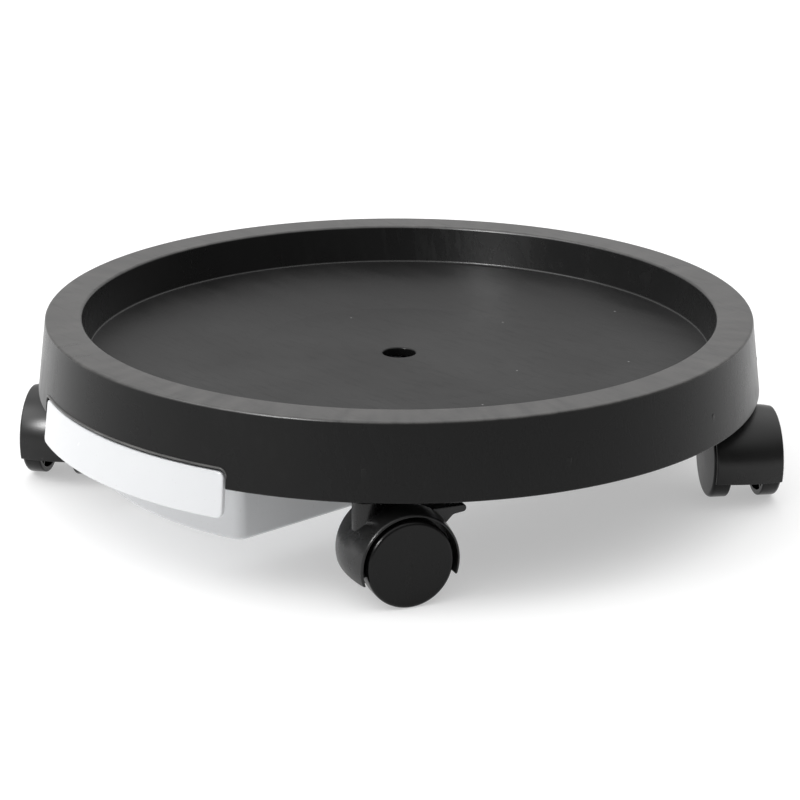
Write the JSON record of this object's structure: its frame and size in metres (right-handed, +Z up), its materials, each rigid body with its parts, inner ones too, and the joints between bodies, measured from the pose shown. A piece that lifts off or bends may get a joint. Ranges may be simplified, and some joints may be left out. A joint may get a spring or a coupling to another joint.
{
  "type": "plant pot caddy",
  "caption": "Low round plant pot caddy: sunken deck with a central drain hole on twin-wheel swivel castors, with a pull-out water drawer below.",
  "frame": {"origin": "centre of the drain hole's mouth on the deck's floor", "axes": "+Z up, out of the drain hole; the drawer slides out towards -Y; the castor corners lie within 2 degrees of the diagonals between X and Y"},
  "size_m": [0.3498, 0.3516, 0.0848],
  "materials": {
    "deck_plastic": "satin charcoal moulding",
    "castor_plastic": "satin black nylon",
    "wheel_plastic": "satin black nylon",
    "drawer_plastic": "glossy white moulding",
    "zinc_steel": "bright zinc plate"
  },
  "bodies": {
    "deck": {"deck": "deck_plastic", "rail_left": "deck_plastic", "rail_screw_left_front": "zinc_steel", "rail_screw_left_middle": "zinc_steel", "rail_screw_left_back": "zinc_steel", "rail_right": "deck_plastic", "rail_screw_right_front": "zinc_steel", "rail_screw_right_middle": "zinc_steel", "rail_screw_right_back": "zinc_steel", "castor_socket_front_right": "castor_plastic", "castor_stem_front_right": "zinc_steel", "castor_ring_front_right": "zinc_steel", "castor_socket_back_right": "castor_plastic", "castor_stem_back_right": "zinc_steel", "castor_ring_back_right": "zinc_steel", "castor_socket_front_left": "castor_plastic", "castor_stem_front_left": "zinc_steel", "castor_ring_front_left": "zinc_steel", "castor_socket_back_left": "castor_plastic", "castor_stem_back_left": "zinc_steel", "castor_ring_back_left": "zinc_steel"},
    "drawer": {"drawer": "drawer_plastic"},
    "castor_front_right": {"castor_housing_front_right": "castor_plastic", "castor_axle_front_right": "zinc_steel", "brake_pin_front_right": "zinc_steel"},
    "wheel_a_front_right": {"castor_wheel_a_front_right": "wheel_plastic"},
    "wheel_b_front_right": {"castor_wheel_b_front_right": "wheel_plastic"},
    "brake_front_right": {"brake_lever_front_right": "castor_plastic"},
    "castor_back_right": {"castor_housing_back_right": "castor_plastic", "castor_axle_back_right": "zinc_steel"},
    "wheel_a_back_right": {"castor_wheel_a_back_right": "wheel_plastic"},
    "wheel_b_back_right": {"castor_wheel_b_back_right": "wheel_plastic"},
    "castor_front_left": {"castor_housing_front_left": "castor_plastic", "castor_axle_front_left": "zinc_steel"},
    "wheel_a_front_left": {"castor_wheel_a_front_left": "wheel_plastic"},
    "wheel_b_front_left": {"castor_wheel_b_front_left": "wheel_plastic"},
    "castor_back_left": {"castor_housing_back_left": "castor_plastic", "castor_axle_back_left": "zinc_steel", "brake_pin_back_left": "zinc_steel"},
    "wheel_a_back_left": {"castor_wheel_a_back_left": "wheel_plastic"},
    "wheel_b_back_left": {"castor_wheel_b_back_left": "wheel_plastic"},
    "brake_back_left": {"brake_lever_back_left": "castor_plastic"}
  },
  "joints": [
    {"name": "drawer_slide", "type": "slide", "parent": "deck", "child": "drawer", "axis": [0, -1, 0], "range_m": [0, 0.15]},
    {"name": "swivel_front_right", "type": "hinge", "parent": "deck", "child": "castor_front_right", "pos_m": [0.11144, -0.11868, -0.0418], "axis": [0, 0, 1], "continuous": true},
    {"name": "roll_a_front_right", "type": "hinge", "parent": "castor_front_right", "child": "wheel_a_front_right", "pos_m": [0.11657, -0.10458, -0.0418], "axis": [-0.9397, 0.342, 0], "continuous": true},
    {"name": "roll_b_front_right", "type": "hinge", "parent": "castor_front_right", "child": "wheel_b_front_right", "pos_m": [0.11657, -0.10458, -0.0418], "axis": [-0.9397, 0.342, 0], "continuous": true},
    {"name": "brake_front_right", "type": "hinge", "parent": "castor_front_right", "child": "brake_front_right", "pos_m": [0.12119, -0.0919, -0.0293], "axis": [-0.9397, 0.342, 0], "range_deg": [0, 10]},
    {"name": "swivel_back_right", "type": "hinge", "parent": "deck", "child": "castor_back_right", "pos_m": [0.11868, 0.11144, -0.0418], "axis": [0, 0, 1], "continuous": true},
    {"name": "roll_a_back_right", "type": "hinge", "parent": "castor_back_right", "child": "wheel_a_back_right", "pos_m": [0.13104, 0.10295, -0.0418], "axis": [0.5664, 0.8241, 0], "continuous": true},
    {"name": "roll_b_back_right", "type": "hinge", "parent": "castor_back_right", "child": "wheel_b_back_right", "pos_m": [0.13104, 0.10295, -0.0418], "axis": [0.5664, 0.8241, 0], "continuous": true},
    {"name": "swivel_front_left", "type": "hinge", "parent": "deck", "child": "castor_front_left", "pos_m": [-0.11868, -0.11144, -0.0418], "axis": [0, 0, 1], "continuous": true},
    {"name": "roll_a_front_left", "type": "hinge", "parent": "castor_front_left", "child": "wheel_a_front_left", "pos_m": [-0.10924, -0.1231, -0.0418], "axis": [0.7771, 0.6293, 0], "continuous": true},
    {"name": "roll_b_front_left", "type": "hinge", "parent": "castor_front_left", "child": "wheel_b_front_left", "pos_m": [-0.10924, -0.1231, -0.0418], "axis": [0.7771, 0.6293, 0], "continuous": true},
    {"name": "swivel_back_left", "type": "hinge", "parent": "deck", "child": "castor_back_left", "pos_m": [-0.11144, 0.11868, -0.0418], "axis": [0, 0, 1], "continuous": true},
    {"name": "roll_a_back_left", "type": "hinge", "parent": "castor_back_left", "child": "wheel_a_back_left", "pos_m": [-0.12554, 0.12381, -0.0418], "axis": [-0.342, -0.9397, 0], "continuous": true},
    {"name": "roll_b_back_left", "type": "hinge", "parent": "castor_back_left", "child": "wheel_b_back_left", "pos_m": [-0.12554, 0.12381, -0.0418], "axis": [-0.342, -0.9397, 0], "continuous": true},
    {"name": "brake_back_left", "type": "hinge", "parent": "castor_back_left", "child": "brake_back_left", "pos_m": [-0.13823, 0.12842, -0.0293], "axis": [-0.342, -0.9397, 0], "range_deg": [0, 10]}
  ]
}
